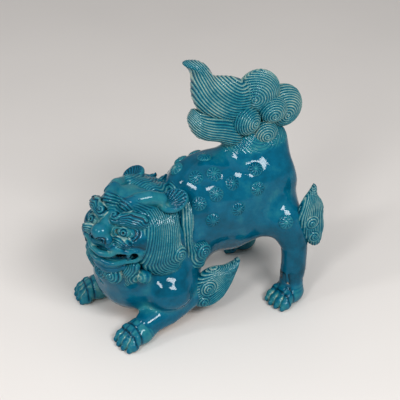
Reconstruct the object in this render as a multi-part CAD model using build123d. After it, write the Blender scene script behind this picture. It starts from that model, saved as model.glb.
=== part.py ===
from build123d import *

import math
import os

# Glazed pottery foo dog in a play bow: chest low, rump high, plumed tail upright, head turned to its left.
# The hollow torso halves and the hollow head are press-moulded and luted together with slip. Legs, paws,
# mane locks, ears, flames, tail lobes and stamped rosettes are modelled on their own and set on them face
# to face before the firing. Millimetres; +Z is up, the torso faces -Y and its left side is +X.

# ---- driving dimensions -------------------------------------------------------------------------------------
WALL = 7.0  # clay wall of the hollow mouldings
VENT_RADIUS = 1.5  # firing vent pricked through the belly
CRUMB = 60.0  # cubic millimetres: smaller offcuts of a joint are wiped away

# Torso sections along its length: (y, height of the centre, half width, half height)
TORSO = [
    (-113, 68, 13, 13),
    (-106, 66, 32, 33),
    (-88, 65, 47, 50),
    (-58, 69, 53, 56),
    (-28, 97, 52, 66),
    (5, 128, 50, 69),
    (38, 135, 50, 66),
    (72, 133, 50, 62),
    (104, 130, 48, 58),
    (126, 132, 42, 49),
    (140, 133, 28, 34),
    (147, 134, 11, 14),
]

# Head: its own frame looks along -Y, with +X its left. It is turned to the left, lifted and tilted a little.
HEAD_CENTRE = (14, -85, 139)
HEAD_YAW = 30
HEAD_LIFT = -5
HEAD_TILT = 2
SKULL_RADII = (41.5, 41, 41)
MUZZLE = ((0, -29, -12), (31, 22, 14))
JAW = ((0, -24, -31), (27, 21, 14))
MOUTH_CORNER = (17, -44, -23)  # one slot on each side of the closed front lips
MOUTH_RADII = (9, 11, 2.5)
EYE = (20, -37, 8)
EYE_RADII = (8.5, 7.2, 6.8)
NOSE = (0, -50, -2)
NOSE_RADIUS = 10.5

# Legs: joint positions from the body down to the ankle, and the limb's radius at each
LEFT_FORELEG = ([(34, -40, 62), (40, -20, 38), (52, -55, 24), (57, -82, 20)], [32, 26, 19, 15])
RIGHT_FORELEG = ([(-34, -46, 62), (-40, -30, 38), (-46, -75, 24), (-45, -98, 20)], [32, 26, 19, 15])
HIND_LEG = ([(32, 77, 122), (50, 104, 86), (60, 116, 60), (62, 108, 24)], [39, 25, 17, 14])

# Paws: centre on the ground and the direction the toes point, in degrees to the left of -Y
PAW_LENGTH = 47.0
PAW_WIDTH = 38.0
PAW_HEIGHT = 26.0
PAWS = {
    "left_fore_paw": ((60, -99), 8),
    "right_fore_paw": ((-45, -114), -6),
    "left_hind_paw": ((65, 99), 14),
    "right_hind_paw": ((-65, 99), -14),
}

# Tail: flames as sections (height or reach, centre, half thickness, half breadth), curls as (y, z, radius)
TAIL_STEM = [(172, 86, 30, 44), (185, 85, 25, 42), (200, 84, 19, 41), (222, 82, 17, 38), (246, 84, 13, 26)]
UPPER_PLUME = [
    (222, 50, 17, 20),
    (242, 44, 19, 26),
    (262, 35, 17, 29),
    (280, 30, 14, 26),
    (291, 23, 11, 20),
    (301, 13, 8, 13),
    (311, 5, 5, 9),
    (318, -3, 2, 4),
]
LOWER_PLUME = [(52, 223, 16, 18), (34, 227, 16, 19), (20, 233, 15, 19), (9, 238, 12, 17), (1, 244, 8, 10), (-2, 247, 3, 4)]
CURL_THICKNESS = 20.0  # half thickness of the curls that go right through the tail
THROUGH_CURLS = {"tail_top_curl": (87, 265, 27), "tail_rear_curl": (119, 240, 26)}
SIDE_CURL_X = 13.0
SIDE_CURL_THICKNESS = 12.0
SIDE_CURLS = {"centre": (97, 237, 22), "low": (84, 213, 20), "front": (62, 240, 18)}

# Flames on the hocks: (height, y, half thickness, half breadth), and on the elbows: (y, height, ...)
HOCK_FLAME = [(64, 142, 4, 5), (76, 143, 9, 13), (94, 143, 11, 18), (114, 140, 10, 17), (134, 141, 7, 10), (154, 140, 2, 3)]
HOCK_FLAME_X = 57
ELBOW_FLAME = [(-16, 34, 6, 12), (0, 31, 10, 21), (14, 33, 9, 19), (29, 44, 6, 12), (43, 59, 2, 3)]
ELBOW_FLAME_X = 46

# Rosettes stamped on the back: (y, degrees from the spine around the torso); side ones are on both flanks
ROSETTE_RADIUS = 11.0
ROSETTE_SINK = 7.8
SPINE_ROSETTES = [(16, 2), (-17, -4)]
FLANK_ROSETTES = [(-4, 19), (17, 27), (36, 43), (13, 50), (-8, 43), (67, 36), (65, 59), (39, 79), (6, 80)]
THIGH_ROSETTE = (0.96, 0.22, 0.1)  # direction from the middle of the left thigh


# ---- solid helpers ------------------------------------------------------------------------------------------
def ellipsoid(centre, radii, turn=Location()):
    """Ellipsoid of the given half sizes, turned about its own centre."""
    return Pos(*centre) * turn * scale(Sphere(1), by=radii)


def taper(start, end, start_radius, end_radius):
    """Capsule whose round ends differ in radius: an outline of arc, line and arc, revolved."""
    a, b = Vector(*start), Vector(*end)
    length = (b - a).length
    lean = math.asin((start_radius - end_radius) / length)

    def rim(height, radius, angle):
        return (radius * math.cos(angle), height + radius * math.sin(angle))

    low, high = rim(0, start_radius, lean), rim(length, end_radius, lean)
    mid_low = rim(0, start_radius, (lean - math.pi / 2) / 2)
    mid_high = rim(length, end_radius, (lean + math.pi / 2) / 2)
    pole_low, pole_high = (0, -start_radius), (0, length + end_radius)
    outline = Wire(
        [
            Edge.make_three_point_arc(pole_low, mid_low, low),
            Edge.make_line(low, high),
            Edge.make_three_point_arc(high, mid_high, pole_high),
            Edge.make_line(pole_high, pole_low),
        ]
    )
    capsule = revolve(Face(outline), Axis.Y)
    return Plane(origin=a, z_dir=(b - a).normalized()).location * Rot(90, 0, 0) * capsule


def fuse(shapes):
    whole = shapes[0]
    for shape in shapes[1:]:
        whole = whole + shape
    return whole


def limb(points, radii):
    """Tapered capsules end to end through the joints of a limb or the bends of a lock of hair."""
    return fuse([taper(points[i], points[i + 1], radii[i], radii[i + 1]) for i in range(len(points) - 1)])


def standing_flame(sections, x):
    """Flame plate lofted upwards through ellipses: (height, y, half thickness, half breadth)."""
    return loft([Pos(x, y, z) * Ellipse(thick, broad) for z, y, thick, broad in sections])


def lying_flame(sections, x):
    """Flame plate lofted along Y through ellipses: (y, height, half thickness, half breadth)."""
    faces = []
    for y, z, thick, broad in sorted(sections):
        faces.append(Plane(origin=(x, y, z), x_dir=(1, 0, 0), z_dir=(0, 1, 0)) * Ellipse(thick, broad))
    return loft(faces)


def mirrored(point):
    return (-point[0], point[1], point[2])


def set_on(shape, *neighbours):
    """The shape with its neighbours cut away, so that it meets them face to face."""
    for neighbour in neighbours:
        shape = shape - neighbour
    keep = [solid for solid in shape.solids() if solid.volume > CRUMB]
    return max(keep, key=lambda solid: solid.volume)


def in_head(shape):
    """Moves a shape from the head's own frame to the statue's."""
    return Pos(*HEAD_CENTRE) * Rot(0, 0, HEAD_YAW) * Rot(HEAD_LIFT, 0, 0) * Rot(0, HEAD_TILT, 0) * shape


# ---- torso and head -----------------------------------------------------------------------------------------
def torso_block(inset=0.0):
    """The torso's outside, or with an inset the hollow inside it."""
    faces = []
    for y, z, half_width, half_height in TORSO:
        if half_width > inset + 10:
            section = Ellipse(half_width - inset, half_height - inset)
            faces.append(Plane(origin=(0, y, z), x_dir=(1, 0, 0), z_dir=(0, 1, 0)) * section)
    return loft(faces)


def torso_shells(block):
    vent = Pos(1.5 * VENT_RADIUS, 60, 80) * Cylinder(VENT_RADIUS, 60)
    shell = block - torso_block(WALL) - vent
    left_half = Pos(100, 0, 150) * Box(200, 400, 400)
    return {"torso_left_shell": shell & left_half, "torso_right_shell": shell - left_half}


def head_block():
    """Skull and muzzle as one form, in the head's frame."""
    return ellipsoid((0, 0, 0), SKULL_RADII) + ellipsoid(*MUZZLE)


def head_parts(torso):
    """Everything that is luted to the skull, in the statue's frame."""
    corners = [(side * MOUTH_CORNER[0], MOUTH_CORNER[1], MOUTH_CORNER[2]) for side in (-1, 1)]
    mouth = [in_head(ellipsoid(corner, MOUTH_RADII)) for corner in corners]
    block = in_head(head_block())
    hollow = in_head(Sphere(min(SKULL_RADII) - WALL))
    head = set_on(block - hollow, torso, *mouth)
    jaw = set_on(in_head(ellipsoid(*JAW)), block, torso, *mouth)
    parts = {"head_shell": head, "lower_jaw": jaw}

    wings = [taper((0, -51, -4), (side * 9, -48, -5), 6, 5.5) for side in (-1, 1)]
    parts["nose"] = set_on(in_head(fuse([Pos(*NOSE) * Sphere(NOSE_RADIUS)] + wings)), block)
    fangs = [Pos(side * 14, -44, -25) * Cone(1.2, 2.6, 8) for side in (-1, 1)]
    parts["upper_fangs"] = Compound([set_on(in_head(fang), block, jaw) for fang in fangs])

    for name, side in (("left", 1), ("right", -1)):
        eye = in_head(ellipsoid((side * EYE[0], EYE[1], EYE[2]), EYE_RADII))
        brow_line = [(side * 8, -43, 19), (side * 24, -36, 21), (side * 37, -18, 15)]
        brow = in_head(limb(brow_line, [6, 7, 5]))
        scroll = in_head(Pos(side * 11, -32, 32) * Rot(0, 0, 90) * Sphere(10.9))
        parts[name + "_eye"] = set_on(eye, block)
        parts[name + "_brow"] = set_on(brow, block, eye)
        parts[name + "_forehead_scroll"] = set_on(scroll, block, brow)
    return block, jaw, parts


def mane_parts(torso, head, jaw, brows):
    """Combed hair: a mane on each cheek, the nape between them, the ears above and the beard below."""
    left_mane = [
        ellipsoid((46, 27, -6), (19, 46, 48)),
        ellipsoid((57, 22, -32), (17, 25, 25)),
        ellipsoid((64, 50, -42), (17, 20, 20)),
    ]
    right_mane = [
        ellipsoid((-42, 22, -14), (15, 38, 40)),
        ellipsoid((-46, 20, -40), (15, 22, 21)),
        ellipsoid((-44, 46, -38), (15, 18, 18)),
    ]
    cheeks = {"left": in_head(fuse(left_mane)), "right": in_head(fuse(right_mane))}
    parts = {}
    for name, mane in cheeks.items():
        parts[name + "_cheek_mane"] = set_on(mane, head, torso, brows[name])

    nape = in_head(ellipsoid((0, 30, 2), (44, 36, 42)))
    parts["nape_mane"] = set_on(nape, head, torso, *cheeks.values())

    for name, side in (("left", 1), ("right", -1)):
        stem = limb([(side * 20, -6, 36), (side * 28, 18, 42), (side * 33, 32, 38)], [8, 7, 7])
        disc = ellipsoid((side * 35, 40, 35), (8, 15, 14), Rot(0, -side * 26, side * 25))
        parts[name + "_ear"] = set_on(in_head(stem + disc), head, torso, nape, *cheeks.values())

    left = in_head(limb([(20, -30, -48), (24, -30, -62)], [12, 11]))
    centre = in_head(limb([(2, -36, -50), (4, -38, -68)], [12, 10]))
    right = in_head(limb([(-16, -32, -48), (-20, -32, -62)], [12, 11]))
    jaws = [head, jaw, torso]
    parts["beard_left_curl"] = set_on(left, *jaws, cheeks["left"])
    parts["beard_right_curl"] = set_on(right, *jaws, cheeks["right"])
    parts["beard_centre_tuft"] = set_on(centre, *jaws, left, right)
    return parts


# ---- legs, paws and flames ----------------------------------------------------------------------------------
def paw(ground, heading):
    """Pad with four toes, each ending in a claw, and a flat sole on the ground."""
    half_length, half_width = PAW_LENGTH / 2, PAW_WIDTH / 2
    pad = ellipsoid((0, 1, PAW_HEIGHT * 0.45), (half_width, half_length * 0.86, PAW_HEIGHT * 0.55))
    toes = []
    for spread in (-1.0, -0.36, 0.36, 1.0):
        reach = half_length * (1 - 0.14 * abs(spread))
        knuckle = (spread * half_width * 0.62, -reach * 0.4, PAW_HEIGHT * 0.42)
        tip = (spread * half_width * 0.68, 6.5 - reach, 6)
        claw = (spread * half_width * 0.7, 2.5 - reach, 3)
        toes += [taper(knuckle, tip, 7.5, 6.3), taper(tip, claw, 4, 2.4)]
    foot = fuse([pad] + toes) & (Pos(0, 0, 50) * Box(100, 100, 100))
    return Pos(ground[0], ground[1], 0) * Rot(0, 0, heading) * foot


def leg_parts(torso, manes):
    paws = {name: paw(*place) for name, place in PAWS.items()}
    hind_points, hind_radii = HIND_LEG
    legs = {
        "left_foreleg": (limb(*LEFT_FORELEG), "left_fore_paw"),
        "right_foreleg": (limb(*RIGHT_FORELEG), "right_fore_paw"),
        "left_hind_leg": (limb(hind_points, hind_radii), "left_hind_paw"),
        "right_hind_leg": (limb([mirrored(p) for p in hind_points], hind_radii), "right_hind_paw"),
    }
    above_ground = Pos(0, 0, 204) * Box(400, 500, 400)
    parts = {name: main_solid(shape) for name, shape in paws.items()}
    for name, (leg, foot) in legs.items():
        parts[name] = set_on(leg & above_ground, torso, paws[foot], *manes)
    for name, side in (("left", 1), ("right", -1)):
        hock = standing_flame(HOCK_FLAME, side * HOCK_FLAME_X)
        elbow = lying_flame(ELBOW_FLAME, side * ELBOW_FLAME_X)
        parts[name + "_hock_flame"] = set_on(hock, torso, legs[name + "_hind_leg"][0])
        parts[name + "_elbow_flame"] = set_on(elbow, torso, legs[name + "_foreleg"][0])
    return parts


def main_solid(shape):
    return max(shape.solids(), key=lambda solid: solid.volume)


# ---- tail and rosettes --------------------------------------------------------------------------------------
def tail_parts(torso):
    stem = standing_flame(TAIL_STEM, 0)
    parts = {"tail_stem": set_on(stem, torso)}
    placed = [torso, stem]
    for name, (y, z, radius) in THROUGH_CURLS.items():
        curl = ellipsoid((0, y, z), (CURL_THICKNESS, radius, radius))
        parts[name] = set_on(curl, *placed)
        placed.append(curl)
    for name, side in (("left", 1), ("right", -1)):
        for place, (y, z, radius) in SIDE_CURLS.items():
            curl = ellipsoid((side * SIDE_CURL_X, y, z), (SIDE_CURL_THICKNESS, radius, radius))
            parts["tail_%s_%s_curl" % (name, place)] = set_on(curl, *placed)
            placed.append(curl)
    for name, plume in (("upper", standing_flame(UPPER_PLUME, 0)), ("lower", lying_flame(LOWER_PLUME, 0))):
        parts["tail_%s_plume" % name] = set_on(plume, *placed)
        placed.append(plume)
    return parts


def on_torso(y, angle):
    """Point of the torso's skin and its outward direction, the angle measured from the spine."""
    for here, following in zip(TORSO, TORSO[1:]):
        if here[0] <= y <= following[0]:
            share = (y - here[0]) / (following[0] - here[0])
            z, half_width, half_height = [here[k] + share * (following[k] - here[k]) for k in (1, 2, 3)]
    across, up = math.sin(math.radians(angle)), math.cos(math.radians(angle))
    outward = Vector(across / half_width, 0, up / half_height).normalized()
    return Vector(across * half_width, y, z + up * half_height), outward


def on_thigh(side):
    """Point of the thigh's skin and its outward direction."""
    outward = Vector(side * THIGH_ROSETTE[0], THIGH_ROSETTE[1], THIGH_ROSETTE[2]).normalized()
    middle = Vector(*HIND_LEG[0][0])
    return Vector(side * middle.X, middle.Y, middle.Z) + outward * HIND_LEG[1][0], outward


def rosettes(places, neighbours):
    """Domed buttons of clay, sunk a little into the skin and stamped with petals."""
    buttons = []
    for point, outward in places:
        centre = point - outward * ROSETTE_SINK
        buttons.append(set_on(Pos(*centre) * Sphere(ROSETTE_RADIUS), *neighbours))
    return Compound(buttons)


def rosette_parts(neighbours):
    parts = {"spine_rosettes": rosettes([on_torso(*place) for place in SPINE_ROSETTES], neighbours)}
    for name, side in (("left", 1), ("right", -1)):
        places = [on_torso(y, side * angle) for y, angle in FLANK_ROSETTES] + [on_thigh(side)]
        parts[name + "_flank_rosettes"] = rosettes(places, neighbours)
    return parts


# ---- the whole statue ---------------------------------------------------------------------------------------
def build():
    torso = torso_block()
    parts = torso_shells(torso)
    head, jaw, on_head = head_parts(torso)
    parts.update(on_head)
    brows = {side: parts[side + "_brow"] for side in ("left", "right")}
    parts.update(mane_parts(torso, head, jaw, brows))
    manes = [parts["left_cheek_mane"], parts["right_cheek_mane"]]
    parts.update(leg_parts(torso, manes))
    parts.update(tail_parts(torso))
    thighs = [limb(*HIND_LEG), limb([mirrored(p) for p in HIND_LEG[0]], HIND_LEG[1])]
    tail = [standing_flame(TAIL_STEM, 0), parts["tail_lower_plume"]]
    parts.update(rosette_parts([torso] + thighs + tail + manes))
    return parts


def main():
    parts = build()
    box = Compound([solid for shape in parts.values() for solid in shape.solids()]).bounding_box()
    to_origin = Pos(-(box.min.X + box.max.X) / 2, -(box.min.Y + box.max.Y) / 2, -box.min.Z)
    os.makedirs("parts", exist_ok=True)
    for name, shape in parts.items():
        export_step(to_origin * shape, "parts/%s.step" % name)
        print(name, len(shape.solids()), round(shape.volume))
    print("size", box.size, "origin moved by", to_origin.position)


main()
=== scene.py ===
import math

import bpy
import numpy as np
import openvdb
from mathutils import Matrix, Vector


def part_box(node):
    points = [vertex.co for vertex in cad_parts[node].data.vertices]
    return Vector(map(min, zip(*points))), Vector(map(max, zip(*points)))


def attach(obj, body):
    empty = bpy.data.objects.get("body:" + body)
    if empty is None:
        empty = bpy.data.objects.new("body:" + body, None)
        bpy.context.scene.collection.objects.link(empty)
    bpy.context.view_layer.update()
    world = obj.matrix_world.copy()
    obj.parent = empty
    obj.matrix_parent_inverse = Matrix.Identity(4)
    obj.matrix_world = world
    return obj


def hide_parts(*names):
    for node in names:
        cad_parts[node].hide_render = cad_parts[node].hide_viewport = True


# A turquoise-glazed pottery foo dog. Every piece is sculpted as a distance field in millimetres, in the
# statue's own design frame (+Z up, torso facing -Y, the table at z = 0), with its combed grooves cut into
# the field, then meshed and dressed in a glaze that is pale on crests and deep in hollows.

F = np.float32
MM = 0.001

# ---- fields -----------------------------------------------------------------------------------------------


def vec(*values):
    return np.array(values, F)


def length(p):
    return np.sqrt(np.einsum("ij,ij->i", p, p))


def turn(yaw=0.0, pitch=0.0, roll=0.0):
    """Rotation with local axes as columns, in degrees about Z, then X, then Y."""
    y, x, r = (math.radians(a) for a in (yaw, pitch, roll))
    about_z = Matrix.Rotation(y, 3, "Z")
    about_x = Matrix.Rotation(x, 3, "X")
    about_y = Matrix.Rotation(r, 3, "Y")
    return np.array(about_z @ about_x @ about_y, F)


def ell(p, centre, radii):
    """Ellipsoid."""
    q = p - vec(*centre)
    radii = vec(*radii)
    near = length(q / radii)
    return near * (near - 1) / np.maximum(length(q / (radii * radii)), 1e-6)


def pillow(p, centre, radii, power):
    """Ellipsoid with squarer shoulders, the more so the higher the power."""
    q = p - vec(*centre)
    near = (np.abs(q / vec(*radii)) ** power).sum(1) ** (1 / power)
    return length(q) * (1 - 1 / np.maximum(near, 1e-3))


def cone(p, a, b, ra, rb):
    """Capsule between a and b whose radius runs from ra to rb."""
    a, b = vec(*a), vec(*b)
    along = b - a
    t = np.clip((p - a) @ along / (along @ along), 0, 1)
    return length(p - a - t[:, None] * along) - (ra + (rb - ra) * t)


def chain(p, points, radii):
    """Capsules end to end through the points, with a radius at each."""
    out = cone(p, points[0], points[1], radii[0], radii[1])
    for i in range(1, len(points) - 1):
        out = np.minimum(out, cone(p, points[i], points[i + 1], radii[i], radii[i + 1]))
    return out


def join(a, b, soft):
    """Union with a rounded seam of the given softness."""
    h = np.maximum(soft - np.abs(a - b), 0) / soft
    return np.minimum(a, b) - h * h * soft * 0.25


def cut(a, b, soft):
    """a with b taken away, the edge rounded."""
    h = np.maximum(soft - np.abs(a + b), 0) / soft
    return np.maximum(a, -b) + h * h * soft * 0.25


def fade(x, start, end):
    """0 before start, 1 after end, smooth between."""
    t = np.clip((x - start) / (end - start), 0, 1)
    return t * t * (3 - 2 * t)


def comb(strand, sharp=1.0):
    """Depth of a combed surface, 1 in the grooves at whole numbers and 0 on the crests between them."""
    return 1 - np.abs(np.sin(np.pi * strand)) ** sharp


def swell(p, scale, seed):
    """Slow hand-made unevenness, about -1 to 1."""
    rng = np.random.RandomState(seed)
    out = np.zeros(len(p), F)
    for _ in range(5):
        direction = rng.normal(size=3)
        direction /= np.linalg.norm(direction)
        wave = (direction * (2 * np.pi / scale * rng.uniform(0.7, 1.5))).astype(F)
        out += np.sin(p @ wave + rng.uniform(0, 6.28))
    return out / 3


def ribbon(u, v, points, widths):
    """Place across a curved lock drawn in a plane, from -1 on one side to 1 on the other."""
    points = np.array(points, F)
    steps = points[1:] - points[:-1]
    lengths = np.hypot(steps[:, 0], steps[:, 1])
    before = np.concatenate([[0], np.cumsum(lengths)])
    best = np.full(len(u), 1e9, F)
    along = np.zeros(len(u), F)
    side = np.zeros(len(u), F)
    for i, (start, step, span) in enumerate(zip(points[:-1], steps, lengths)):
        du, dv = u - start[0], v - start[1]
        t = (du * step[0] + dv * step[1]) / (span * span)
        if i > 0:
            t = np.maximum(t, 0)
        if i < len(steps) - 1:
            t = np.minimum(t, 1)
        off = np.hypot(du - t * step[0], dv - t * step[1])
        nearer = off < best
        best = np.where(nearer, off, best)
        along = np.where(nearer, before[i] + t * span, along)
        side = np.where(nearer, np.sign(du * step[1] - dv * step[0]) * off, side)
    return side / np.interp(along, before, widths)


def catmull_rom(a, b, c, d, t):
    """Point at share t of the way from b to c, on the curve through a, b, c and d."""
    return 0.5 * (2 * b + (c - a) * t + (2 * a - 5 * b + 4 * c - d) * t * t + (3 * b - a - 3 * c + d) * t**3)


def smooth_line(points, count=24):
    """A Catmull-Rom curve through the points, as a list of points."""
    points = np.array(points, float)
    padded = np.vstack([2 * points[0] - points[1], points, 2 * points[-1] - points[-2]])
    out = []
    for s in np.linspace(0, len(points) - 1, count):
        i = min(int(s), len(points) - 2)
        out.append(catmull_rom(*padded[i : i + 4], s - i))
    return np.array(out)


def closed_curve(corners, steps=4):
    """A Catmull-Rom curve round the corners, as an array of points."""
    corners = np.array(corners, float)
    around = [np.roll(corners, shift, 0) for shift in (1, 0, -1, -2)]
    out = [catmull_rom(*around, t) for t in np.arange(steps) / steps]
    return np.stack(out, 1).reshape(-1, 2)


def outline(u, v, corners):
    """Distance to a smooth closed outline in a plane, negative inside."""
    loop = closed_curve(corners).astype(F)
    best = np.full(len(u), 1e9, F)
    inside = np.zeros(len(u), bool)
    for (ax, ay), (bx, by) in zip(loop, np.roll(loop, -1, 0)):
        ex, ey = bx - ax, by - ay
        du, dv = u - ax, v - ay
        t = np.clip((du * ex + dv * ey) / max(ex * ex + ey * ey, 1e-6), 0, 1)
        best = np.minimum(best, (du - t * ex) ** 2 + (dv - t * ey) ** 2)
        if ey != 0:
            inside ^= ((v >= ay) != (v >= by)) & (du < dv * (ex / ey))
    best = np.sqrt(best)
    return np.where(inside, -best, best)


def slab(flat, across, rim, half):
    """Plate with a pillowed rim: flat is the distance to its outline, across that from its middle plane."""
    out, up = np.maximum(flat + rim, 0) / rim, across / half
    near = np.hypot(out, up)
    return near * (near - 1) / np.maximum(np.hypot(out / rim, up / half), 1e-4)


def spiral(u, v, radius, pitch, hand=1):
    """Strand number of a one-armed scroll about u = v = 0 at the given distance from its middle."""
    return radius / pitch - hand * np.arctan2(v, u) / (2 * np.pi)


# ---- meshing ----------------------------------------------------------------------------------------------
BLOCK = 8  # voxels on a side of a block
FAR = 6.0  # distances are kept up to this many millimetres
DEEPEST_GROOVE = 2.2
HALF_DIAGONAL = 0.87  # of a cube of side 1
BLOCKS_AT_ONCE = 600


def sample(field, low, size, voxel):
    """The field on a grid, worked out only in the blocks that the surface passes through."""
    blocks = np.ceil(size / (voxel * BLOCK)).astype(int)
    grid = np.full(blocks * BLOCK, FAR, F)
    index = np.indices(blocks).reshape(3, -1).T
    middles = low + (index * BLOCK + (BLOCK - 1) / 2) * voxel
    middle_distance = field(middles.astype(F))[0]
    reach = voxel * BLOCK * HALF_DIAGONAL + DEEPEST_GROOVE
    inside = np.indices((BLOCK,) * 3).reshape(3, -1).T
    view = grid.reshape(blocks[0], BLOCK, blocks[1], BLOCK, blocks[2], BLOCK)
    for i, j, k in index[middle_distance < -reach]:
        view[i, :, j, :, k, :] = -FAR
    near = index[np.abs(middle_distance) <= reach]
    for chunk in np.array_split(near, max(1, len(near) // BLOCKS_AT_ONCE)):
        points = (chunk[:, None, :] * BLOCK + inside[None]) * voxel + low
        values = field(points.reshape(-1, 3).astype(F))[0].reshape(-1, BLOCK, BLOCK, BLOCK)
        for (i, j, k), value in zip(chunk, values):
            view[i, :, j, :, k, :] = value
    return grid


def sculpt(name, field, low, high, voxel):
    """Meshes the field where it is zero, and keeps the depth of the combing on each vertex."""
    low, high = np.array(low, float), np.array(high, float)
    grid = openvdb.FloatGrid(FAR)
    grid.copyFromArray(np.clip(sample(field, low, high - low, voxel), -FAR, FAR))
    points, triangles, quads = grid.convertToPolygons(0.0, 0.0)
    points = (points * voxel + low).astype(F)
    mesh = bpy.data.meshes.new(name)
    faces = [f[::-1] for f in triangles.tolist()] + [f[::-1] for f in quads.tolist()]
    mesh.from_pydata((points + DESIGN_TO_FRAME) * MM, [], faces)
    relief = mesh.attributes.new("relief", "FLOAT", "POINT")
    relief.data.foreach_set("value", np.clip(field(points)[1], -1, 2).astype(F))
    mesh.polygons.foreach_set("use_smooth", [True] * len(faces))
    mesh.update()
    piece = bpy.data.objects.new(name, mesh)
    bpy.context.scene.collection.objects.link(piece)
    return piece


# ---- body -------------------------------------------------------------------------------------------------
HEAD_CENTRE = vec(14, -85, 139)
HEAD_TURN = turn(30, -5, 2)
HIND_LEG = ([(46, 104, 110), (57, 113, 76), (60, 112, 50), (63, 107, 24)], [22, 16.5, 15.5, 14.5])
LEFT_FORELEG = ([(34, -42, 62), (40, -25, 38), (51, -56, 25), (58, -86, 19)], [31, 23, 18, 14.5])
RIGHT_FORELEG = ([(-34, -46, 62), (-41, -30, 38), (-46, -72, 25), (-45, -100, 19)], [31, 23, 18, 14.5])


def to_head(p):
    return (p - HEAD_CENTRE) @ HEAD_TURN


def flipped(points):
    return [(-x, y, z) for x, y, z in points]


def stem_comb(p):
    """Strands of the tail's stem: arcs under the low curl, and upright ones behind it."""
    y, z = p[:, 1], p[:, 2]
    bowl = np.hypot(y - 82, z - 222) / 3.4
    upright = y / 3.3 + 0.3 * np.sin(z / 9)
    return comb(np.where(y + 0.25 * (z - 200) > 106, upright, bowl))


def body(p):
    """Torso, legs, neck and the root of the tail: one smooth skin of glaze."""
    d = ell(p, (0, -74, 64), (54, 52, 53))
    for centre, radii in (
        ((0, -28, 94), (50, 56, 58)),
        ((0, 12, 135), (47, 50, 58)),
        ((0, 48, 126), (48, 60, 67)),
    ):
        d = join(d, ell(p, centre, radii), 18)
    d = join(d, pillow(p, (0, 86, 136), (47, 45, 60), 3.0), 14)
    for side in (-1, 1):
        d = join(d, ell(p, (side * 32, 96, 114), (26, 32, 32)), 8)
    d = join(d, cone(p, (4, -55, 108), (12, -80, 135), 42, 38), 22)
    local = to_head(p)
    d = join(d, ell(local, (0, -16, -52), (34, 22, 24)), 14)
    d = join(d, chain(p, *HIND_LEG), 8)
    d = join(d, chain(p, flipped(HIND_LEG[0]), HIND_LEG[1]), 8)
    d = join(d, chain(p, *LEFT_FORELEG), 14)
    d = join(d, chain(p, *RIGHT_FORELEG), 14)
    for side in (-1, 1):
        d = join(d, ell(p, (side * 49, -52, 53), (26, 30, 25)), 6)
    d = join(d, ell(p, (0, 85, 196), (24, 42, 30)), 16)
    on_stem = fade(p[:, 2], 195, 203)
    relief = stem_comb(p) * on_stem
    d = d + 1.4 * relief + 0.8 * swell(p, 34, 3) * fade(p[:, 2], 20, 50)
    return np.maximum(d + 0.9 * ankle_crack(p), 3 - p[:, 2]), 1.6 * relief - 1.1 * on_stem


def ankle_crack(p):
    """Old break round the left hind ankle, where the glaze has chipped."""
    x, y, z = p.T
    height = 33 + 1.6 * np.sin(x * 0.23) + 0.8 * np.sin(y * 0.5)
    return np.exp(-(((z - height) / 0.8) ** 2)) * ((x > 30) & (y > 70))


FORE_WRIST, HIND_WRIST = (0, 27, 20), (-2, 9, 40)
PAW_PLACES = {
    "left_fore_paw": ((61, -100), 12, FORE_WRIST),
    "right_fore_paw": ((-45, -114), -6, FORE_WRIST),
    "left_hind_paw": ((66, 100), 14, HIND_WRIST),
    "right_hind_paw": ((-66, 100), -14, HIND_WRIST),
}


def paw(ground, heading, wrist_end):
    """Four clawed toes under a wrist with three rolls, about a point on the ground."""
    rotation = turn(heading)
    centre = vec(ground[0], ground[1], 0)
    wrist_start = vec(0, 8, 14)
    leg = vec(*wrist_end) - wrist_start

    def field(p):
        q = (p - centre) @ rotation
        x, y, z = q.T
        d = join(ell(q, (0, 3, 12), (17.5, 18, 14)), cone(q, wrist_start, wrist_end, 15, 14.2), 6)
        tendons = 0.6 * np.exp(-((np.abs(np.abs(x) - 4.8) / 1.0) ** 2)) * fade(z, 12, 17) * fade(-y, -8, -2)
        up_leg = (q - wrist_start) @ leg / np.linalg.norm(leg)
        wrist = comb(up_leg / 4.0, 0.7) * fade(up_leg, 1, 2) * fade(-up_leg, -11, -9.5)
        toes = np.full(len(q), 99.0, F)
        for spread in (-1.0, -0.34, 0.34, 1.0):
            wide = abs(spread)
            knuckle = ell(q, (spread * 11.5, -7 + wide, 13), (6.0, 9, 8.6))
            tip = ell(q, (spread * 13.2, -16 + 3 * wide, 7.5), (6.3, 7.5, 7.5))
            claw = ell(q, (spread * 13.8, -22.4 + 3.4 * wide, 4.2), (3.0, 4.2, 4.6))
            toe = join(join(knuckle, tip, 2), claw, 1)
            toes = np.minimum(toes, toe)
        creases = np.exp(-(((y + 11.5) / 0.9) ** 2)) + np.exp(-(((y + 3.5) / 0.9) ** 2))
        creases = creases * fade(z, 5, 9)
        d = join(d, toes, 2.5)
        relief = np.clip(np.maximum(np.maximum(tendons, 0.4 * wrist), creases), 0, 1)
        return cut(d + 0.8 * relief, z, 0.6), relief * 0.8 + 0.42 * fade(up_leg, 2, 22)

    low = (ground[0] - 30, ground[1] - 30, -1)
    high = (ground[0] + 30, ground[1] + 46, 58)
    return field, low, high


# ---- tail -------------------------------------------------------------------------------------------------
def curl(middle, radii, eye, pitch):
    """Domed lobe flattened across the tail, scrolled about its eye (y, z) on its outer faces."""

    def field(p):
        d = ell(p, middle, radii)
        u, v = p[:, 1] - eye[0], p[:, 2] - eye[1]
        flat = np.hypot(u, v)
        height = np.clip(np.abs(p[:, 0] - middle[0]) / radii[0], 0, 1)
        reach = flat + radii[0] * 0.55 * (1 - height) * np.clip(flat / radii[1], 0, 1)
        relief = comb(spiral(u, v, reach, pitch)) * fade(flat, 0.2, 1.6)
        return d + 1.5 * relief, relief

    return field


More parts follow.
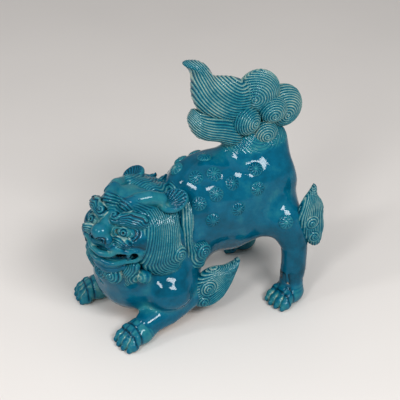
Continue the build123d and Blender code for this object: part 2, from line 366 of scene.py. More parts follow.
def plume(corners, rim, half, line, widths, pitch=3.3):
    """Flame-shaped plate across the tail, combed along its own centre line; points are (y, z)."""
    line = smooth_line(line)
    widths = np.interp(np.linspace(0, 1, len(line)), np.linspace(0, 1, len(widths)), widths)

    def field(p):
        x, y, z = p.T
        flat = outline(y, z, corners)
        d = slab(flat, x, rim, half)
        relief = comb(ribbon(y, z, line, widths) * (widths.max() / pitch))
        return d + (0.7 + 0.8 * fade(-flat, 0.5, 5)) * relief, relief

    return field


UPPER_PLUME = [
    (-9, 316), (-4, 319), (1, 319), (10, 317), (19, 311), (25, 302), (30, 295), (42, 292), (54, 289),
    (64, 284), (76, 274), (80, 255), (74, 240), (58, 232), (43, 235), (29, 241), (16, 249), (8, 258),
    (3, 268), (1, 279), (1, 291), (0, 302), (-4, 310),
]
UPPER_FLOW = [(-8, 321), (2, 313), (9, 298), (19, 280), (34, 264), (51, 254), (70, 252)]
LOWER_PLUME = [
    (3, 256), (-3, 246), (-2, 237), (3, 226), (12, 218), (32, 211), (45, 203), (62, 203), (66, 222),
    (58, 238), (42, 246), (26, 250), (10, 256),
]
LOWER_FLOW = [(-4, 256), (6, 244), (20, 236), (36, 231), (54, 224)]

# ---- head -------------------------------------------------------------------------------------------------
UPPER_LIP = [
    (0, -52, -19.5), (7, -51.5, -18.6), (13.3, -50, -17.5), (19, -48, -11), (23.5, -46, -9), (28, -43.5, -10),
    (31, -41, -11.3), (35, -37.5, -10.5), (38.5, -34, -10), (41, -31, -13),
]
LOWER_LIP = [
    (41, -30, -15), (39, -29, -20), (35, -31, -24), (31, -35, -24.5), (27, -39, -25), (22, -42, -28),
    (17, -45, -30.5), (11, -46.5, -32), (6, -47, -32.5), (0, -47, -31.5),
]
MOUTH_GAPS = [((16, -22), (30, -14.5), 2.5), ((33.5, -19.5), (38, -13), 2.2)]
BROW = [(9, -41, 22.5), (16, -36, 23.5), (25, -28, 23), (33, -21.5, 21), (38, -18.5, 16)]
EYE = (21, -37, 10)


def eye_distance(m):
    """Almond-shaped distance from the middle of the eye: 1 at the edge of the lids."""
    across = (m[:, 0] - EYE[0]) * 0.87 + (m[:, 1] + 39) * 0.5
    return np.hypot(across / 9.6, (m[:, 2] - EYE[2]) / 4.7), across


def skull(local, m):
    """Bare form of the head; m is the same points with x made positive, so that it is symmetrical."""
    d = ell(local, (0, 2, 2), (45, 40, 40))
    d = join(d, ell(local, (0, -19, -6), (42, 26, 30)), 14)
    d = join(d, ell(m, (32, -24, -5), (12, 13, 15)), 8)
    d = join(d, ell(m, (13, -38, -9), (17, 14, 10)), 6)
    d = join(d, ell(local, (0, -32, -36), (26, 16, 11)), 7)
    d = join(d, ell(local, (0, -38, -42), (17, 10, 7)), 5)
    d = join(d, cone(local, (0, -33, 20), (0, -46, 11), 8, 9), 4)
    return join(d, cone(m, (12, -24, 36), (20, -6, 38), 8, 8), 6)


def combed_over(creases, part, strand):
    """Creases with those under a raised part replaced by the part's own combing."""
    on_part = fade(-part, -2.6, -1.4)
    return creases * (1 - on_part) + (1.05 * comb(strand) - 0.3) * on_part


def head(p):
    """Head with its lids, brows, nose, tufts, lips, gaps between the teeth and combed forehead."""
    local = to_head(p)
    m = local.copy()
    m[:, 0] = np.abs(m[:, 0])
    x, y, z = m.T
    front = fade(-y, 14, 22)
    d = cut(skull(local, m), ell(m, (EYE[0], EYE[1] - 4, EYE[2]), (11, 6, 5.2)), 2)
    around_eye, across = eye_distance(m)
    d = d - 2.0 * np.exp(-(((around_eye - 1.08) / 0.17) ** 2)) * front
    creases = comb((around_eye - 1.1) / 0.42, 0.8) * fade(around_eye, 1.15, 1.3)
    creases = creases * fade(-around_eye, -2.3, -1.9) * front * fade(across, 2, 6) * fade(-z, -19, -15)

    crown = np.sqrt(x * x * 0.8 + (y + 38) ** 2 + (z - 20) ** 2)
    on_crown = fade(z, 27, 30) * fade(-x, -24, -19) * fade(-crown, -31, -27)
    creases = creases + (comb(crown / 3.6 + 0.35 * np.sin(x / 3.6)) - 0.27) * on_crown
    on_temple = fade(x, 20, 25) * fade(z, 22, 27) * fade(-y, -4, 4) * (1 - on_crown)
    creases = creases + (0.9 * comb((z + 0.5 * y) / 3.4 + 0.4 * np.sin(x / 4)) - 0.22) * on_temple

    brow = chain(m, BROW, [4.5, 7, 9, 8.5, 5])
    side = ribbon(x, z, [(7, 20), (16, 24), (25, 25), (34, 22), (43, 12)], [6, 9, 12, 12, 9])
    creases = combed_over(creases, brow, side * 4.8 + 0.5)
    scroll = ell(m, (9.5, -39.5, 27.5), (5.8, 6, 5.8))
    u, v = x - 10, (y + 39) * 0.5 + (z - 28.5) * 0.86
    creases = combed_over(creases, scroll, spiral(u, v, np.hypot(u, v), 3.6))
    d = join(join(d, brow, 2), scroll, 1.5)

    nose = join(ell(local, (0, -53, 9), (11, 10.5, 10)), ell(m, (8.5, -52.5, 2), (6.8, 7, 6.3)), 2)
    d = join(d, nose, 2)
    nostril = np.hypot(x - 6.2, (z - 2.0) * 1.1)
    wing = np.exp(-(((nostril - 5.2) / 0.8) ** 2)) * fade(-y, 50, 53)
    d = cut(d, ell(m, (6.2, -61, 2.0), (2.6, 6, 2.3)), 0.8)
    wing = np.maximum(wing, 1.5 * fade(-nostril, -3.0, -2.2) * fade(-y, 50, 53))

    tuft = ell(m, (23.5, -42, 0), (11.5, 7, 6.2))
    creases = combed_over(creases, tuft, (z + 0.03 * (x - 21) ** 2) / 2.5)
    d = join(d, tuft, 1.6)

    upper, lower = chain(m, UPPER_LIP, [3.6] * 10), chain(m, LOWER_LIP, [3.4] * 10)
    d = join(join(d, upper, 1.2), lower, 1.2)
    lip = np.minimum(upper, lower)
    ripple = comb(lip / 3.4, 0.7) * fade(lip, 1.2, 2.2) * fade(-lip, -8, -5.5) * fade(-y, 16, 24)
    creases = creases + 0.5 * ripple * (nose > 2) * (tuft > 1) * (z < 0)
    gap = np.full(len(x), 99.0, F)
    for (ax, az), (bx, bz), reach in MOUTH_GAPS:
        t = np.clip(((x - ax) * (bx - ax) + (z - az) * (bz - az)) / ((bx - ax) ** 2 + (bz - az) ** 2), 0, 1)
        gap = np.minimum(gap, np.hypot(x - ax - t * (bx - ax), z - az - t * (bz - az)) - reach)
    gap = np.maximum(gap, y + 28)
    d = cut(d, gap, 1)
    fang = cone(m, (31.5, -40.5, -13), (31, -40, -21), 2.4, 1.3)
    d = join(d, fang, 0.6)
    inside_mouth = fade(-gap, -0.8, 0.2) * (fang > 0.6)
    creases = np.where(wing > 0.05, np.maximum(creases, wing), creases)
    lid = np.exp(-(((around_eye - 1.08) / 0.15) ** 2)) * front
    cheek = fade(x, 24, 30) * fade(z, -12, -7) * fade(-z, -8, -3) * fade(around_eye, 1.6, 2)
    pale = 0.26 * np.maximum(lid, 0.6 * fade(-lip, -0.8, 0.6)) - 0.3 * cheek
    relief = np.where(inside_mouth > 0.05, 1.6 * inside_mouth, creases - pale)
    return d + 1.15 * np.clip(creases, -0.6, 1) * (inside_mouth < 0.5) + 0.3 * swell(p, 15, 7), relief


def eyeball(side):
    """Eyeball with a ring round a sunk pupil."""
    centre = (side * EYE[0], EYE[1], EYE[2])
    axis = vec(side * 0.42, -0.86, 0.29)

    def field(p):
        local = to_head(p)
        d = ell(local, centre, (8.8, 6.8, 5.6))
        q = local - vec(*centre)
        off = length(q - (q @ axis)[:, None] * axis)
        relief = np.exp(-(((off - 3.9) / 0.7) ** 2)) + 1.5 * fade(-off, -1.9, -1.2)
        return d + 0.9 * relief, relief

    middle = vec(*centre) @ HEAD_TURN.T + HEAD_CENTRE
    return field, middle - 10, middle + 10


EARS = {
    1: ((42, 25, 33), [(17, -10, 38), (25, 2, 39), (33, 13, 36)]),
    -1: ((-32, 45, 33), [(-17, -16, 37), (-24, 4, 36), (-28, 24, 31), (-31, 36, 29)]),
}


def ear(side):
    """Roll sweeping back from the forehead into a long cupped spoon with a fan of flutes."""
    middle, stem = EARS[side]
    middle = vec(*middle)
    normal = vec(side * 0.28, -0.42, 0.86)
    normal /= np.linalg.norm(normal)
    along = vec(side * 0.35, 0.85, 0.38)
    along -= normal * (along @ normal)
    along /= np.linalg.norm(along)
    axes = np.stack([along, np.cross(normal, along), normal], 1)
    long = 19 if side > 0 else 14

    def field(p):
        local = to_head(p)
        q = (local - middle) @ axes
        disc = ell(q, (0, 0, -1), (long, 14.5, 7))
        disc = cut(disc, ell(q, (1, 0, 7), (long - 2.5, 12, 7.5)), 1.5)
        d = join(disc, chain(local, stem, [8.5, 9, 8, 6][: len(stem)]), 6)
        fan = comb(np.arctan2(q[:, 1], q[:, 0] + 15) * 6.5 + 0.5, 1.2)
        relief = fan * fade(q[:, 0], -9, -2) * fade(-np.hypot(q[:, 0] * 14.5 / long, q[:, 1]), -13, -11.5)
        relief = relief * fade(q[:, 2], -9, -6)
        return d + 1.5 * relief, relief

    centre = middle @ HEAD_TURN.T + HEAD_CENTRE
    return field, centre - 66, centre + 34


# ---- manes ------------------------------------------------------------------------------------------------
FIRST_LOCK = [
    (-8, 63), (-20, 64), (-31, 63), (-40, 58), (-46, 50), (-51, 38), (-54, 23), (-53, 12), (-50, 0),
    (-42, -12), (-25, -25), (-9, -30), (3, -28), (9, -19), (8, -3), (7, 11), (9, 29), (13, 44), (15, 58),
    (4, 66),
]
SECOND_LOCK = [
    (13, 60), (11, 44), (8, 29), (7, 11), (7, -4), (8, -19), (9, -30), (14, -36), (23, -38), (34, -39),
    (41, -33), (44, -23), (43, -14), (37, -4), (29, 4), (24, 12), (27, 23), (34, 37), (37, 48), (35, 60),
    (24, 68),
]
# Where a lock's strands come down (height above the scroll's eye, place of the line, widths beside the line).
FIRST_FALL = ([0, 50], [0, 12], [48, 46])
SECOND_FALL = ([0, 20, 38, 58], [0, -7, -1, 7], [23, 15, 20, 22])


def hooked(b, c, fall, width_below, strands):
    """Strands that fall beside a line above a scroll, pass under its eye at b = c = 0 and wind into it."""
    above = np.maximum(c, 0)
    theta = np.arctan2(-c, -b)
    reach = np.where(c > 0, np.abs(b - np.interp(above, fall[0], fall[1])), np.hypot(b, c))
    beside = np.interp(above, fall[0], fall[2])
    share = np.interp(theta, [-np.pi, -1.57, 0, 1.57, np.pi], [1, 0, 0, 1, 1])
    edge = np.where(c > 0, beside, beside + (width_below - beside) * share)
    from_eye = np.hypot(b, c)
    return np.where(from_eye < 10.5, spiral(-b, -c, from_eye, 3.3, -1), reach / edge * strands)


def cheek_mane(origin, outward, spread):
    """Two combed locks side by side, each ending in a scroll, in a frame of (outward, back, up)."""
    origin = vec(*origin)
    outward = vec(*outward) / np.linalg.norm(vec(*outward))
    back = np.cross(vec(0, 0, 1), outward)
    back = back if back[1] > 0 else -back
    axes = np.stack([outward, back, vec(0, 0, 1)], 1)

    def field(p):
        q = (p - origin) @ axes / spread
        a, b, c = q.T
        a = a + 0.0088 * np.maximum(c - 5, 0) ** 2 * fade(b, -50, 5)
        first, second = outline(b, c, FIRST_LOCK), outline(b, c, SECOND_LOCK)
        d = slab(join(first, second, 5), a + 8, 20, 16)
        lock_point = np.stack([a, b, c], 1)
        first_boss = ell(lock_point, (5, -3, 2), (6, 11, 11))
        second_boss = ell(lock_point, (4, 31, -8), (8, 12, 12))
        d = join(d, np.minimum(first_boss, second_boss), 4)
        between = np.exp(-(((first - second) / 2.2) ** 2)) * fade(-np.maximum(first, second), -6, -2)
        one = hooked(b + 3, c - 2, FIRST_FALL, 32, 13.5)
        two = hooked(b - 31, c + 8, SECOND_FALL, 30, 7)
        relief = np.maximum(comb(np.where(first < second, one, two)), between)
        return (d + 1.5 * relief + 1.5 * between) * spread, relief

    corners = np.array([(a, b, c) for a in (-45, 14) for b in (-56, 48) for c in (-44, 70)], F) * spread
    corners = corners @ axes.T + origin
    return field, corners.min(0), corners.max(0)


def nape(p):
    """Wavy hair between the ears, running back to small upturned tips against the shoulders."""
    local = to_head(p)
    x, y, z = local.T
    d = ell(local, (0, 26, 0), (38, 36, 40))
    for tip, rise in ((-22, 0), (-5, 4), (14, 0)):
        lock = [(tip, 24, 31), (tip * 0.95, 44, 28), (tip * 0.9, 62, 22), (tip * 0.9, 73, 25 + rise)]
        d = join(d, chain(local, lock, [11, 10, 7, 3.2]), 6)
    relief = comb(x / 4.0 + 0.7 * np.sin(y / 6.5) + 0.25 * np.sin(y / 3.4 + x / 9))
    return d + 1.4 * relief, relief


def beard_curl(side):
    """Scroll under the chin, a fringed tuft beside it and a plain ball at the corner of the jaw."""

    def field(p):
        local = to_head(p) - vec(0, -1, 5)
        x, y, z = (local * vec(side, 1, 1)).T
        m = np.stack([x, y, z], 1)
        root = cone(m, (2, -39, -42), (0, -36, -54), 7, 8)
        scroll = join(ell(m, (7.5, -34, -58), (12.5, 9, 12.5)), root, 4)
        u, v = x - 7.5, z + 58
        tuft = chain(m, [(32, -28, -40), (26, -27, -49), (24, -22, -60), (20, -25, -68)], [7, 10, 10, 6])
        ball = ell(m, (38, -16, -56), (9.5, 9, 9.5))
        flow = (x - 26 - 4 * np.sin((z + 50) / 6.5)) / 3.0
        strand = np.where(scroll < tuft, spiral(u, v, np.hypot(u, v), 3.4), flow)
        curl_line = spiral(x - 38, z + 56, np.hypot(x - 38, z + 56), 4.0)
        relief = np.where(np.minimum(scroll, tuft) < ball, comb(strand), 0.5 * comb(curl_line))
        d = join(np.minimum(scroll, tuft), ball, 1.5)
        return d + 1.4 * relief, relief

    middle = vec(side * 26, -28, -52) @ HEAD_TURN.T + HEAD_CENTRE
    return field, middle - 36, middle + 36


# ---- flames and rosettes ----------------------------------------------------------------------------------
def flame(x, corners, half, line, widths, eyes, pitch=3.1):
    """Upright plate with a combed tip and scrolls at its root; points are (y, z)."""
    line = smooth_line(line)
    widths = np.interp(np.linspace(0, 1, len(line)), np.linspace(0, 1, len(widths)), widths)

    def field(p):
        y, z = p[:, 1], p[:, 2]
        d = slab(outline(y, z, corners), p[:, 0] - x, 9, half)
        strand = ribbon(y, z, line, widths) * (widths.max() / pitch)
        for eye_y, eye_z, size in eyes:
            u, v = y - eye_y, z - eye_z
            flat = np.hypot(u, v)
            d = join(d, ell(p, (x, eye_y, eye_z), (half + 2.5, size, size)), 2)
            strand = np.where(flat < size, spiral(u, v, flat, 3.2), strand)
        relief = comb(strand)
        return d + 1.4 * relief, relief

    return field


HOCK_FLAME = [
    (135, 160), (128, 150), (121, 141), (115, 130), (112, 119), (113, 107), (117, 95), (123, 84), (130, 75),
    (138, 70), (146, 74), (149, 88), (150, 100), (148, 112), (148, 124), (145, 134), (138, 145),
]
ELBOW_FLAME = [
    (40, 74), (31, 71), (20, 69), (8, 71), (-2, 70), (-12, 65), (-19, 57), (-24, 44), (-23, 27), (-14, 19),
    (2, 18), (16, 25), (25, 37), (33, 53),
]


def rosette(point, outward, spin):
    """Stamped button: a dished disc with curved petals about a small boss."""
    normal = vec(*outward)
    normal /= np.linalg.norm(normal)
    across = np.cross(normal, vec(0, 0, 1) if abs(normal[2]) < 0.9 else vec(0, 1, 0))
    across /= np.linalg.norm(across)
    axes = np.stack([across, np.cross(normal, across), normal], 1)

    def field(p):
        q = (p - vec(*point)) @ axes
        flat = np.hypot(q[:, 0], q[:, 1])
        d = ell(q, (0, 0, -1.1), (9.0, 9.0, 4.0))
        petals = comb(np.arctan2(q[:, 1], q[:, 0]) * 11 / (2 * np.pi) + flat * 0.09 + spin, 0.7)
        relief = petals * fade(flat, 1.6, 2.6) * fade(-flat, -8.2, -7.4)
        d = join(d, ell(q, (0, 0, 1.6), (1.9, 1.9, 1.6)), 0.5)
        return d + 1.1 * relief * fade(q[:, 2], -1.5, 0.2), relief

    return field


# ---- turning fields into dressed pieces -------------------------------------------------------------------
def hollows(mesh, rounds, scale):
    """How far each vertex stands above its smoothed surroundings, in units of scale (mm), crests positive."""
    count = len(mesh.vertices)
    points = np.empty(count * 3, F)
    mesh.vertices.foreach_get("co", points)
    normals = np.empty(count * 3, F)
    mesh.vertices.foreach_get("normal", normals)
    edges = np.empty(len(mesh.edges) * 2, np.int32)
    mesh.edges.foreach_get("vertices", edges)
    points, normals, edges = points.reshape(-1, 3) / MM, normals.reshape(-1, 3), edges.reshape(-1, 2)
    ends = np.concatenate([edges[:, 0], edges[:, 1]])
    others = np.concatenate([edges[:, 1], edges[:, 0]])
    share = np.maximum(np.bincount(ends, minlength=count), 1)
    smooth = points.astype(float)
    for _ in range(rounds):
        total = np.stack([np.bincount(ends, smooth[others, k], count) for k in range(3)], 1)
        smooth = 0.4 * smooth + 0.6 * total / share[:, None]
    return (np.einsum("ij,ij->i", points - smooth, normals) / scale).astype(F)


def store(mesh, name, values):
    """Keeps a value for each vertex, where the material can read it."""
    attribute = mesh.attributes.new(name, "FLOAT", "POINT")
    attribute.data.foreach_set("value", values.astype(F))


def dress(piece, slot, nodes, finish=None):
    """Measures crests and hollows for the glaze, gives the piece its material and its place in the frame."""
    store(piece.data, "fine", hollows(piece.data, 6, 0.35))
    store(piece.data, "broad", hollows(piece.data, 45, 1.6))
    piece.data.materials.append(GLAZES[finish or slot])
    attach(piece, "root")
    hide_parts(*nodes)


def merged(name, pieces):
    """Several small meshes as one piece."""
    bpy.ops.object.select_all(action="DESELECT")
    for piece in pieces:
        piece.select_set(True)
    bpy.context.view_layer.objects.active = pieces[0]
    bpy.ops.object.join()
    pieces[0].name = name
    return pieces[0]


# ---- glaze ------------------------------------------------------------------------------------------------
class Nodes:
    """Small helper that adds nodes to a material and links them."""

    def __init__(self, material):
        self.tree = material.node_tree
        self.tree.nodes.clear()

    def add(self, kind, inputs=None, **settings):
        node = self.tree.nodes.new(kind)
        for key, value in settings.items():
            setattr(node, key, value)
        for key, value in (inputs or {}).items():
            if isinstance(value, bpy.types.NodeSocket):
                self.tree.links.new(value, node.inputs[key])
            else:
                node.inputs[key].default_value = value
        return node

    def math(self, operation, a, b=0.0, c=0.0, clamp=False):
        return self.add("ShaderNodeMath", {0: a, 1: b, 2: c}, operation=operation, use_clamp=clamp).outputs[0]

    def noise(self, place, scale, detail, roughness):
        inputs = {"Vector": place, "Scale": scale, "Detail": detail, "Roughness": roughness}
        return self.add("ShaderNodeTexNoise", inputs).outputs["Fac"]

    def ramp(self, factor, stops):
        node = self.add("ShaderNodeValToRGB", {0: factor})
        elements = node.color_ramp.elements
        while len(elements) < len(stops):
            elements.new(0.5)
        for element, (position, colour) in zip(elements, stops):
            element.position = position
            element.color = (*colour, 1)
        return node.outputs[0]

    def mix(self, factor, a, b):
        return self.add("ShaderNodeMix", {"Factor": factor, 6: a, 7: b}, data_type="RGBA").outputs[2]

    def attribute(self, name):
        return self.add("ShaderNodeAttribute", attribute_name=name, attribute_type="GEOMETRY").outputs["Fac"]


DEEP = (0.001, 0.024, 0.038)
POOL = (0.0, 0.06, 0.1)
BODY = (0.0, 0.112, 0.19)
THIN = (0.025, 0.19, 0.225)
CREST = (0.33, 0.43, 0.4)
CLAY = (0.42, 0.27, 0.16)


def glaze(name, lightness, thinness, green, seed):
    """Transparent alkaline glaze: blue where it pools, grey-green where it runs thin off the crests."""
    material = bpy.data.materials.new(name)
    material.use_nodes = True
    n = Nodes(material)
    place = n.add("ShaderNodeTexCoord").outputs["Object"]
    place = n.add("ShaderNodeMapping", {"Vector": place, "Location": (seed, seed * 0.7, 0)}).outputs[0]
    clouds = n.noise(place, 17, 4, 0.6)
    mottle = n.noise(place, 75, 4, 0.65)
    speck = n.noise(place, 420, 2, 0.5)
    fine = n.math("MINIMUM", n.math("MAXIMUM", n.attribute("fine"), -1.0), 1.0)
    broad = n.math("MINIMUM", n.math("MAXIMUM", n.attribute("broad"), -1.5), 1.2)
    relief, bare = n.attribute("relief"), n.attribute("bare")

    level = n.math("MULTIPLY_ADD", fine, 0.08 + 0.07 * thinness, lightness)
    level = n.math("MULTIPLY_ADD", broad, 0.17 + 0.05 * thinness, level)
    level = n.math("MULTIPLY_ADD", relief, -0.34 - 0.58 * thinness, level)
    level = n.math("MULTIPLY_ADD", n.math("SUBTRACT", clouds, 0.5), 0.6, level)
    level = n.math("MULTIPLY_ADD", n.math("SUBTRACT", mottle, 0.5), 0.4, level)
    level = n.math("MULTIPLY_ADD", n.math("SUBTRACT", speck, 0.5), 0.08, level, clamp=True)
    crest = tuple(c + green * g for c, g in zip(CREST, (0.03, 0.0, -0.05)))
    colour = n.ramp(level, [(0.02, DEEP), (0.25, POOL), (0.48, BODY), (0.7, THIN), (0.98, crest)])

    normal = n.add("ShaderNodeNewGeometry").outputs["Normal"]
    down = n.add("ShaderNodeSeparateXYZ", {0: normal}).outputs["Z"]
    height = n.add("ShaderNodeSeparateXYZ", {0: n.add("ShaderNodeTexCoord").outputs["Object"]}).outputs["Z"]
    wiped = n.math("MULTIPLY_ADD", down, -9.0, -7.4)
    wiped = n.math("MULTIPLY_ADD", n.math("SUBTRACT", mottle, 0.5), 1.6, wiped)
    wiped = n.math("MULTIPLY", wiped, n.math("LESS_THAN", height, 0.03), clamp=True)
    wiped = n.math("MAXIMUM", wiped, bare)
    colour = n.mix(wiped, colour, (*CLAY, 1))
    roughness = n.math("MULTIPLY_ADD", n.math("SUBTRACT", mottle, 0.5), 0.06, 0.045)
    roughness = n.math("MULTIPLY_ADD", wiped, 0.6, roughness, clamp=True)

    waves = n.math("MULTIPLY_ADD", mottle, 0.25, n.noise(place, 48, 2, 0.5))
    waves = n.math("MULTIPLY_ADD", speck, 0.05, waves)
    bump = n.add("ShaderNodeBump", {"Height": waves, "Strength": 0.4, "Distance": 0.0018}).outputs[0]
    inputs = {"Base Color": colour, "Roughness": roughness, "Normal": bump, "IOR": 1.45}
    shader = n.add("ShaderNodeBsdfPrincipled", inputs)
    shader.inputs["Specular IOR Level"].default_value = 0.34
    n.add("ShaderNodeOutputMaterial", {"Surface": shader.outputs[0]})
    return material


def plain(name, colour, roughness):
    """Matt surface of nearly one colour."""
    material = bpy.data.materials.new(name)
    material.use_nodes = True
    n = Nodes(material)
    place = n.add("ShaderNodeTexCoord").outputs["Object"]
    tone = n.noise(place, 3.0, 3, 0.5)
    low = tuple(c * 0.97 for c in colour)
    shader = n.add("ShaderNodeBsdfPrincipled", {"Base Color": n.ramp(tone, [(0.3, low), (0.7, colour)])})
    shader.inputs["Roughness"].default_value = roughness
    n.add("ShaderNodeOutputMaterial", {"Surface": shader.outputs[0]})
    return material


# ---- assembly ---------------------------------------------------------------------------------------------
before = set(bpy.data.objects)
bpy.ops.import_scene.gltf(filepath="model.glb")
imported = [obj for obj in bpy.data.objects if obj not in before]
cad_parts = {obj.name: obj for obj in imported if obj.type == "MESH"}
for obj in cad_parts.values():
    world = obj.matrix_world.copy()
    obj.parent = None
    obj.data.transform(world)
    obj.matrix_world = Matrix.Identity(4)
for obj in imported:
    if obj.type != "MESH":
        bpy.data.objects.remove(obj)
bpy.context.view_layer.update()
TORSO_FRONT = -113.0  # of the CAD torso, in the design frame
torso_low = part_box("torso_left_shell")[0]
DESIGN_TO_FRAME = np.array([torso_low.x / MM, torso_low.y / MM - TORSO_FRONT, 0.0])

# Lightness, thinness, olive tint and seed of each glaze.
GLAZES = {
    "ear_glaze": glaze("ear_glaze", 0.68, 0.8, 0.1, 9.1),
    "body_glaze": glaze("body_glaze", 0.47, 0.0, 0.0, 0.3),
    "paw_glaze": glaze("paw_glaze", 0.7, 0.8, 1.0, 2.3),
    "flame_glaze": glaze("flame_glaze", 1.0, 1.0, 0.2, 3.1),
    "tail_glaze": glaze("tail_glaze", 1.04, 1.0, 0.5, 4.7),
    "hair_glaze": glaze("hair_glaze", 0.92, 1.0, 0.2, 5.9),
    "head_glaze": glaze("head_glaze", 0.6, 0.9, 0.0, 6.1),
    "eye_glaze": glaze("eye_glaze", 0.84, 0.8, 0.0, 7.7),
    "rosette_glaze": glaze("rosette_glaze", 0.76, 0.6, 0.0, 8.3),
}


def make(name, field, low, high, voxel, slot, nodes, finish=None):
    """Sculpts the piece that stands for those CAD nodes and glazes it."""
    piece = sculpt(name, field, low, high, voxel)
    dress(piece, slot, nodes, finish)
    return piece


def build_body():
    low, high = (-92, -135, 0), (92, 152, 222)
    legs = ["left_foreleg", "right_foreleg", "left_hind_leg", "right_hind_leg"]
    shells = ["torso_left_shell", "torso_right_shell", "tail_stem"]
    piece = make("body", body, low, high, 1.12, "body_glaze", shells + legs)
    points = np.empty(len(piece.data.vertices) * 3, F)
    piece.data.vertices.foreach_get("co", points)
    store(piece.data, "bare", ankle_crack(points.reshape(-1, 3) / F(MM) - DESIGN_TO_FRAME.astype(F)))
    for name, where in PAW_PLACES.items():
        make(name + "_glazed", *paw(*where), 0.7, "paw_glaze", [name])


def build_tail():
    lobes = {
        "tail_top_curl": ((0, 87, 264), (20, 27, 27), (74, 262), 3.5, ["tail_top_curl"]),
        "tail_rear_curl": ((0, 119, 239), (19, 26, 27), (118, 233), 3.5, ["tail_rear_curl"]),
    }
    for name, side in (("left", 1), ("right", -1)):
        for where, middle, radii, eye in (
            ("centre", (99, 244), (14, 18.5, 17), (96.5, 240)),
            ("low", (90, 217), (13, 16, 15), (88, 215)),
            ("front", (65, 236), (13, 18, 18), (73, 235)),
        ):
            node = "tail_%s_%s_curl" % (name, where)
            lobes[node] = ((side * 13, *middle), radii, eye, 3.3, [node])
    for name, (middle, radii, eye, pitch, nodes) in lobes.items():
        centre, reach = np.array(middle), np.array(radii) + 3
        field = curl(middle, radii, eye, pitch)
        make(name + "_glazed", field, centre - reach, centre + reach, 0.65, "tail_glaze", nodes)
    upper = plume(UPPER_PLUME, 15, 16, UPPER_FLOW, [6, 11, 16, 18, 18, 18, 18])
    lower = plume(LOWER_PLUME, 14, 17, LOWER_FLOW, [7, 13, 16, 17, 17])
    for name, field, low, high in (
        ("tail_upper_plume", upper, (-21, -14, 226), (21, 86, 323)),
        ("tail_lower_plume", lower, (-21, -10, 196), (21, 74, 266)),
    ):
        make(name + "_glazed", field, low, high, 0.65, "tail_glaze", [name])


def build_head():
    reach = np.array([62, 66, 58])
    sprigs = ["head_shell", "lower_jaw", "nose", "upper_fangs"]
    sprigs += [side + part for side in ("left_", "right_") for part in ("brow", "forehead_scroll")]
    middle = HEAD_CENTRE + vec(0, -6, 0)
    make("head", head, middle - reach, middle + reach, 0.6, "head_glaze", sprigs)
    for name, side in (("left", 1), ("right", -1)):
        make(name + "_eye_glazed", *eyeball(side), 0.6, "eye_glaze", [name + "_eye"])
        make(name + "_ear_glazed", *ear(side), 0.65, "head_glaze", [name + "_ear"], "ear_glaze")
    left = cheek_mane((52, -40, 105), (0.975, 0.22, 0), 1.0)
    right = cheek_mane((-27, -84, 108), (-0.866, -0.5, 0), 0.92)
    make("left_cheek_mane_glazed", *left, 0.74, "hair_glaze", ["left_cheek_mane"])
    make("right_cheek_mane_glazed", *right, 0.74, "hair_glaze", ["right_cheek_mane"])
    middle = vec(0, 32, 6) @ HEAD_TURN.T + HEAD_CENTRE
    make("nape_mane_glazed", nape, middle - 54, middle + 54, 0.9, "hair_glaze", ["nape_mane"])
    make("left_beard", *beard_curl(1), 0.75, "hair_glaze", ["beard_left_curl", "beard_centre_tuft"])
    make("right_beard", *beard_curl(-1), 0.75, "hair_glaze", ["beard_right_curl"])


def build_flames():
    for name, side in (("left", 1), ("right", -1)):
        line = [(134, 66), (131, 92), (130, 116), (131, 136), (135, 161)]
        hock = flame(side * 61, HOCK_FLAME, 8, line, [13, 14, 14, 9, 3], [(130, 109, 10), (134, 88, 8)])
        low, high = (side * 61 - 14, 108, 62), (side * 61 + 14, 158, 164)
        make(name + "_hock_flame_glazed", hock, low, high, 0.65, "flame_glaze", [name + "_hock_flame"])
        line = [(-22, 32), (-6, 40), (10, 48), (24, 59), (42, 76)]
        elbow = flame(side * 53, ELBOW_FLAME, 9, line, [18, 18, 15, 9, 3], [(-5, 48, 12), (-11, 29, 8)])
        low, high = (side * 55 - 15, -30, 8), (side * 55 + 15, 48, 80)
        make(name + "_elbow_flame_glazed", elbow, low, high, 0.65, "flame_glaze", [name + "_elbow_flame"])


def on_body(y, angle):
    """Point of the body's skin at that station and angle from the spine, and its outward direction."""
    middle = vec(0, y, np.interp(y, [-30, 10, 60, 110], [95, 130, 134, 132]))
    across, up = math.sin(math.radians(angle)), math.cos(math.radians(angle))
    ray = middle + np.arange(20, 90, 0.5)[:, None].astype(F) * vec(across, 0, up)
    point = ray[np.argmax(body(ray)[0] > 0)]
    steps = np.eye(3, dtype=F) * 2
    slope = body(point + steps)[0] - body(point - steps)[0]
    return point, slope / np.linalg.norm(slope)


# Station along the body and angle from the spine, in degrees.
SPINE_ROSETTES = [(16, 2), (-17, -4)]
FLANK_ROSETTES = [
    (-4, 19), (17, 27), (36, 43), (13, 50), (-8, 43), (67, 36), (65, 59), (39, 79), (6, 80), (95, 103),
]


def build_rosettes():
    groups = {"spine": SPINE_ROSETTES, "left_flank": FLANK_ROSETTES}
    groups["right_flank"] = [(y, -angle) for y, angle in FLANK_ROSETTES]
    for name, places in groups.items():
        buttons = []
        for index, (y, angle) in enumerate(places):
            point, outward = on_body(y, angle)
            button = rosette(point, outward, 0.37 * index)
            buttons.append(sculpt("%s_%d" % (name, index), button, point - 11, point + 11, 0.6))
        piece = merged(name + "_rosettes_glazed", buttons)
        dress(piece, "rosette_glaze", [name + "_rosettes"])


# ---- studio -----------------------------------------------------------------------------------------------
LOOK_AT = vec(-34.87, 27.97, 110)
AZIMUTH, ELEVATION, DISTANCE = 65, 32, 1300
SENSOR = 36
LENS = 2.6 * SENSOR


def toward(azimuth, elevation):
    """Direction seen from the statue: azimuth 0 is in front of it, and grows to its left."""
    a, e = math.radians(azimuth), math.radians(elevation)
    return Vector((math.cos(e) * math.sin(a), -math.cos(e) * math.cos(a), math.sin(e)))


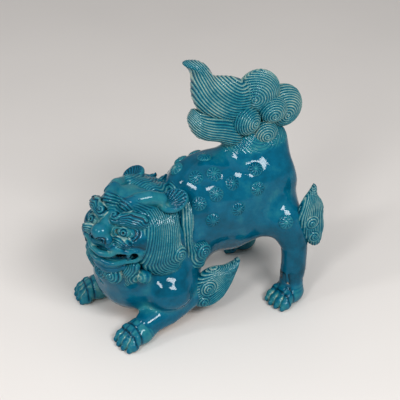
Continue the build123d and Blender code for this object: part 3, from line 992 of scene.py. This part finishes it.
def aim(thing, place, target):
    thing.location = place
    thing.rotation_euler = (target - place).to_track_quat("-Z", "Y").to_euler()


def build_camera():
    data = bpy.data.cameras.new("camera")
    data.sensor_width = SENSOR
    data.lens = LENS
    camera = bpy.data.objects.new("camera", data)
    bpy.context.scene.collection.objects.link(camera)
    target = Vector((LOOK_AT + DESIGN_TO_FRAME) * MM)
    aim(camera, target + toward(AZIMUTH, ELEVATION) * DISTANCE * MM, target)
    bpy.context.scene.camera = camera


def soft_light(name, azimuth, elevation, distance, width, height, power, tint):
    """Window-sized soft lamp aimed at the statue's middle."""
    data = bpy.data.lights.new(name, "AREA")
    data.shape = "RECTANGLE"
    data.size, data.size_y = width, height
    data.energy = power
    data.color = tint
    light = bpy.data.objects.new(name, data)
    bpy.context.scene.collection.objects.link(light)
    target = Vector((0, 0, 0.12))
    aim(light, target + toward(azimuth, elevation) * distance, target)


def build_studio():
    bpy.ops.mesh.primitive_plane_add(size=14, location=(0, 0, 0))
    floor = bpy.context.object
    floor.name = "floor"
    floor.data.materials.append(plain("pale_table", (0.71, 0.69, 0.675), 0.6))
    soft_light("window_front", 40, 38, 1.7, 0.3, 0.42, 11, (1.0, 0.98, 0.96))
    soft_light("window_right", 98, 43, 1.8, 0.7, 0.42, 26, (1.0, 0.99, 0.98))
    soft_light("window_left", -4, 34, 1.8, 0.3, 0.4, 8, (1.0, 0.99, 0.98))
    sky = bpy.data.lights.new("skylight", "SUN")
    sky.energy, sky.angle, sky.color = 0.6, 1.2, (1.0, 0.98, 0.96)
    skylight = bpy.data.objects.new("skylight", sky)
    bpy.context.scene.collection.objects.link(skylight)
    world = bpy.data.worlds.new("studio")
    bpy.context.scene.world = world
    world.use_nodes = True
    background = world.node_tree.nodes["Background"]
    background.inputs["Color"].default_value = (0.93, 0.915, 0.9, 1)
    background.inputs["Strength"].default_value = 0.5
    bpy.context.scene.view_settings.view_transform = "Standard"
    bpy.context.scene.view_settings.look = "Medium High Contrast"
    bpy.context.scene.view_settings.exposure = -0.62


build_body()
build_tail()
build_head()
build_flames()
build_rosettes()
build_studio()
build_camera()
